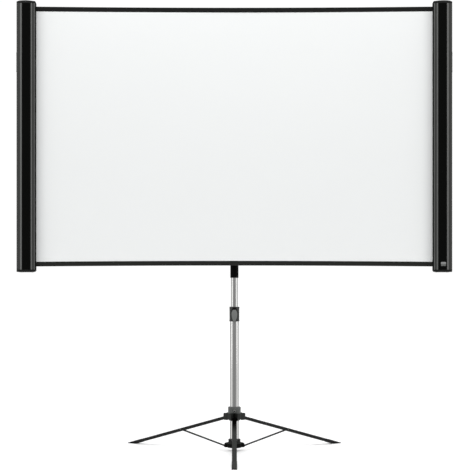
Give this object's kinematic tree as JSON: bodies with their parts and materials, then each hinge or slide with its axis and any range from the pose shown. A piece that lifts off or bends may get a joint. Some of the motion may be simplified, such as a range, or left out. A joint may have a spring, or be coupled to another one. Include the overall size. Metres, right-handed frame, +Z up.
{
  "type": "projection screen",
  "caption": "Free-standing projection screen: a white sheet with black borders between two upright housings, on a telescopic pole with a folding tripod.",
  "frame": {"origin": "on the floor, under the middle of the box round the whole screen", "axes": "+Z up, +X to the viewer's right, the white side of the sheet faces -Y"},
  "size_m": [1.8996, 0.8572, 1.9626],
  "materials": {
    "polished_aluminium": "polished",
    "moulded_black": "satin moulded",
    "nylon": "plain moulded",
    "plated_steel": "zinc plated",
    "hub_black": "satin moulded",
    "leg_grey": "grey anodised",
    "rubber": "matte",
    "lever_grey": "satin",
    "arm_aluminium": "mill",
    "white_fabric": "matte coated",
    "border_black": "matte",
    "housing_black": "black anodised",
    "cap_grey": "satin moulded",
    "strip_black": "gloss",
    "grip_grey": "matte",
    "roller_tube": "mill"
  },
  "bodies": {
    "mast": {"lower_pole": "polished_aluminium", "pole_end_plug": "moulded_black", "guide_bush": "nylon", "latch_collar": "moulded_black", "lever_pin": "plated_steel", "lower_hub": "hub_black"},
    "brace_front": {"brace_front": "leg_grey"},
    "leg_front": {"leg_front": "leg_grey", "foot_front": "rubber", "leg_pin_front": "plated_steel"},
    "brace_left": {"brace_left": "leg_grey"},
    "leg_left": {"leg_left": "leg_grey", "foot_left": "rubber", "leg_pin_left": "plated_steel"},
    "brace_right": {"brace_right": "leg_grey"},
    "leg_right": {"leg_right": "leg_grey", "foot_right": "rubber", "leg_pin_right": "plated_steel"},
    "hub": {"upper_hub": "hub_black"},
    "hub_bolt": {"hub_bolt": "plated_steel"},
    "latch_lever": {"latch_lever": "lever_grey"},
    "post": {"upper_pole": "polished_aluminium", "slide_bush": "nylon", "neck_socket": "moulded_black", "spine": "arm_aluminium", "arm_anchor": "plated_steel", "screen_sheet": "white_fabric", "upper_border": "border_black", "lower_border": "border_black"},
    "neck_screw": {"neck_screw": "moulded_black"},
    "arm_front_left": {"arm_front_left": "arm_aluminium", "arm_rivet_left": "plated_steel"},
    "arm_back_left": {"arm_back_left": "arm_aluminium"},
    "slider_left": {"slider_left": "nylon"},
    "housing_left": {"front_shell_left": "housing_black", "rear_shell_left": "housing_black", "top_cap_left": "cap_grey", "bottom_cap_left": "cap_grey", "front_strip_left": "strip_black", "side_grip_left": "grip_grey"},
    "roller_left": {"roller_tube_left": "roller_tube", "lower_roller_plug_left": "nylon", "upper_roller_plug_left": "nylon", "winding_spring_left": "plated_steel"},
    "arm_front_right": {"arm_front_right": "arm_aluminium", "arm_rivet_right": "plated_steel"},
    "arm_back_right": {"arm_back_right": "arm_aluminium"},
    "slider_right": {"slider_right": "nylon"},
    "housing_right": {"front_shell_right": "housing_black", "rear_shell_right": "housing_black", "top_cap_right": "cap_grey", "bottom_cap_right": "cap_grey", "front_strip_right": "strip_black", "side_grip_right": "grip_grey"},
    "roller_right": {"roller_tube_right": "roller_tube", "lower_roller_plug_right": "nylon", "upper_roller_plug_right": "nylon", "winding_spring_right": "plated_steel"},
    "centre_slider": {"centre_slider": "nylon"}
  },
  "joints": [
    {"name": "brace_front_fold", "type": "hinge", "parent": "mast", "child": "brace_front", "pos_m": [0, 0.09244, 0.019], "axis": [-1, 0, 0], "range_deg": [0, 60.8]},
    {"name": "leg_front_fold", "type": "hinge", "parent": "brace_front", "child": "leg_front", "pos_m": [0, -0.13895, 0.07965], "axis": [1, 0, 0], "range_deg": [0, 121.6]},
    {"name": "brace_left_fold", "type": "hinge", "parent": "mast", "child": "brace_left", "pos_m": [-0.0381, 0.15844, 0.019], "axis": [0.5, 0.866, 0], "range_deg": [0, 60.8]},
    {"name": "leg_left_fold", "type": "hinge", "parent": "brace_left", "child": "leg_left", "pos_m": [-0.2385, 0.27414, 0.07965], "axis": [-0.5, -0.866, 0], "range_deg": [0, 121.6]},
    {"name": "brace_right_fold", "type": "hinge", "parent": "mast", "child": "brace_right", "pos_m": [0.0381, 0.15844, 0.019], "axis": [0.5, -0.866, 0], "range_deg": [0, 60.8]},
    {"name": "leg_right_fold", "type": "hinge", "parent": "brace_right", "child": "leg_right", "pos_m": [0.2385, 0.27414, 0.07965], "axis": [-0.5, 0.866, 0], "range_deg": [0, 121.6]},
    {"name": "hub_fold", "type": "hinge", "parent": "leg_front", "child": "hub", "pos_m": [0, 0.09244, 0.1403], "axis": [-1, 0, 0], "range_deg": [0, 60.8]},
    {"name": "hub_bolt_turn", "type": "hinge", "parent": "hub", "child": "hub_bolt", "pos_m": [0, 0.10644, 0.1775], "axis": [0, -1, 0], "continuous": true},
    {"name": "latch_lever_swing", "type": "hinge", "parent": "mast", "child": "latch_lever", "pos_m": [0, 0.10814, 0.62098], "axis": [-1, 0, 0], "range_deg": [0, 80]},
    {"name": "height_slide", "type": "slide", "parent": "mast", "child": "post", "axis": [0, 0, 1], "range_m": [-0.105, 0.39]},
    {"name": "neck_screw_turn", "type": "hinge", "parent": "post", "child": "neck_screw", "pos_m": [0, 0.15434, 0.7727], "axis": [0, 1, 0], "continuous": true},
    {"name": "arm_front_left_swing", "type": "hinge", "parent": "post", "child": "arm_front_left", "pos_m": [-0.012, 0.12544, 0.8963], "axis": [0, 1, 0], "range_deg": [0, 60.6], "deforming": ["screen_sheet", "upper_border", "lower_border"]},
    {"name": "arm_back_left_swing", "type": "hinge", "parent": "arm_front_left", "child": "arm_back_left", "pos_m": [-0.459, 0.12544, 1.12912], "axis": [0, -1, 0], "range_deg": [0, 121.2]},
    {"name": "housing_left_swing", "type": "hinge", "parent": "arm_back_left", "child": "housing_left", "pos_m": [-0.906, 0.12544, 0.8963], "axis": [0, 1, 0], "range_deg": [0, 60.6]},
    {"name": "slider_left_swing", "type": "hinge", "parent": "arm_front_left", "child": "slider_left", "pos_m": [-0.906, 0.12544, 1.36195], "axis": [0, -1, 0], "range_deg": [0, 60.6]},
    {"name": "roller_left_turn", "type": "hinge", "parent": "housing_left", "child": "roller_left", "pos_m": [-0.908, 0.09974, 0.7942], "axis": [0, 0, -1], "range_deg": [0, 4112]},
    {"name": "arm_front_right_swing", "type": "hinge", "parent": "post", "child": "arm_front_right", "pos_m": [0.012, 0.12544, 0.8963], "axis": [0, -1, 0], "range_deg": [0, 60.6]},
    {"name": "arm_back_right_swing", "type": "hinge", "parent": "arm_front_right", "child": "arm_back_right", "pos_m": [0.459, 0.12544, 1.12912], "axis": [0, 1, 0], "range_deg": [0, 121.2]},
    {"name": "housing_right_swing", "type": "hinge", "parent": "arm_back_right", "child": "housing_right", "pos_m": [0.906, 0.12544, 0.8963], "axis": [0, -1, 0], "range_deg": [0, 60.6]},
    {"name": "slider_right_swing", "type": "hinge", "parent": "arm_front_right", "child": "slider_right", "pos_m": [0.906, 0.12544, 1.36195], "axis": [0, 1, 0], "range_deg": [0, 60.6]},
    {"name": "roller_right_turn", "type": "hinge", "parent": "housing_right", "child": "roller_right", "pos_m": [0.908, 0.09974, 0.7942], "axis": [0, 0, 1], "range_deg": [0, 4112]},
    {"name": "centre_slider_swing", "type": "hinge", "parent": "arm_back_left", "child": "centre_slider", "pos_m": [-0.012, 0.13944, 1.36195], "axis": [0, 1, 0], "range_deg": [0, 60.6]}
  ],
  "couplings": [
    {"joint": "leg_front_fold", "follows": "brace_front_fold", "ratio": 2},
    {"joint": "brace_left_fold", "follows": "brace_front_fold", "ratio": 1},
    {"joint": "leg_left_fold", "follows": "brace_front_fold", "ratio": 2},
    {"joint": "brace_right_fold", "follows": "brace_front_fold", "ratio": 1},
    {"joint": "leg_right_fold", "follows": "brace_front_fold", "ratio": 2},
    {"joint": "hub_fold", "follows": "brace_front_fold", "ratio": 1},
    {"joint": "arm_back_left_swing", "follows": "arm_front_left_swing", "ratio": 2},
    {"joint": "housing_left_swing", "follows": "arm_front_left_swing", "ratio": 1},
    {"joint": "slider_left_swing", "follows": "arm_front_left_swing", "ratio": 1},
    {"joint": "roller_left_turn", "follows": "arm_front_left_swing", "ratio": 67.85},
    {"joint": "arm_front_right_swing", "follows": "arm_front_left_swing", "ratio": 1},
    {"joint": "arm_back_right_swing", "follows": "arm_front_left_swing", "ratio": 2},
    {"joint": "housing_right_swing", "follows": "arm_front_left_swing", "ratio": 1},
    {"joint": "slider_right_swing", "follows": "arm_front_left_swing", "ratio": 1},
    {"joint": "roller_right_turn", "follows": "arm_front_left_swing", "ratio": 67.85},
    {"joint": "centre_slider_swing", "follows": "arm_front_left_swing", "ratio": 1}
  ]
}
